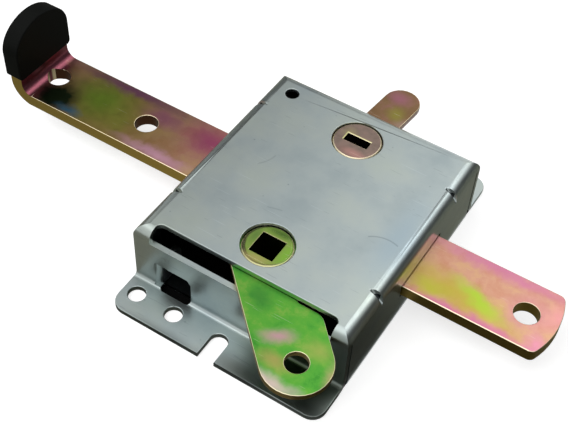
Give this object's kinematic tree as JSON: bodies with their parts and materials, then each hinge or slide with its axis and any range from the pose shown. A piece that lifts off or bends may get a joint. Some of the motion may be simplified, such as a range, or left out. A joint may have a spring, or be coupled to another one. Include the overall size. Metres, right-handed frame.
{
  "type": "garage door latch",
  "caption": "Garage door slide latch: a flat hooked bolt through a pressed steel case, with a cable lever, a square spindle hub and a key lock lever.",
  "frame": {"origin": "middle of the case on the plane that mounts against the door", "axes": "+X along the bolt towards its locking end, +Y from the cable lever's side to the lock lever's side, +Z away from the door"},
  "size_m": [0.2115, 0.1322, 0.0421],
  "materials": {
    "clear_zinc": "bright satin zinc plating",
    "yellow_zinc": "yellow zinc plating with pink and green bloom",
    "green_zinc": "yellow zinc plating with a strong green bloom",
    "spring_steel": "plain steel",
    "black_rubber": "matt black"
  },
  "bodies": {
    "case_body": {"case": "clear_zinc", "back_plate": "clear_zinc", "friction_leaf": "spring_steel", "left_leaf_rivet": "spring_steel", "right_leaf_rivet": "spring_steel", "spindle_wave_washer": "spring_steel", "key_wave_washer": "spring_steel"},
    "bolt_body": {"bolt": "yellow_zinc", "grip_cap": "black_rubber", "drive_stud": "spring_steel", "stud_bush": "spring_steel"},
    "spindle_body": {"spindle_hub": "yellow_zinc", "cable_lever": "green_zinc", "spindle_snap_ring": "spring_steel", "spindle_sleeve": "spring_steel"},
    "key_body": {"key_hub": "yellow_zinc", "lock_lever": "yellow_zinc", "key_snap_ring": "spring_steel", "upper_key_sleeve": "spring_steel", "deadlock_pawl": "yellow_zinc", "lower_key_sleeve": "spring_steel"}
  },
  "joints": [
    {"name": "bolt_slide", "type": "slide", "parent": "case_body", "child": "bolt_body", "axis": [1, 0, 0], "range_m": [0, 0.0433]},
    {"name": "spindle_turn", "type": "hinge", "parent": "case_body", "child": "spindle_body", "pos_m": [-0.0002, -0.027, 0], "axis": [0, 0, 1], "range_deg": [-86.5, 0]},
    {"name": "key_turn", "type": "hinge", "parent": "case_body", "child": "key_body", "pos_m": [0, 0.0289, 0], "axis": [0, 0, 1], "range_deg": [-35, 0]}
  ],
  "couplings": [
    {"joint": "spindle_turn", "follows": "bolt_slide", "rad_per_m": -34.866}
  ]
}
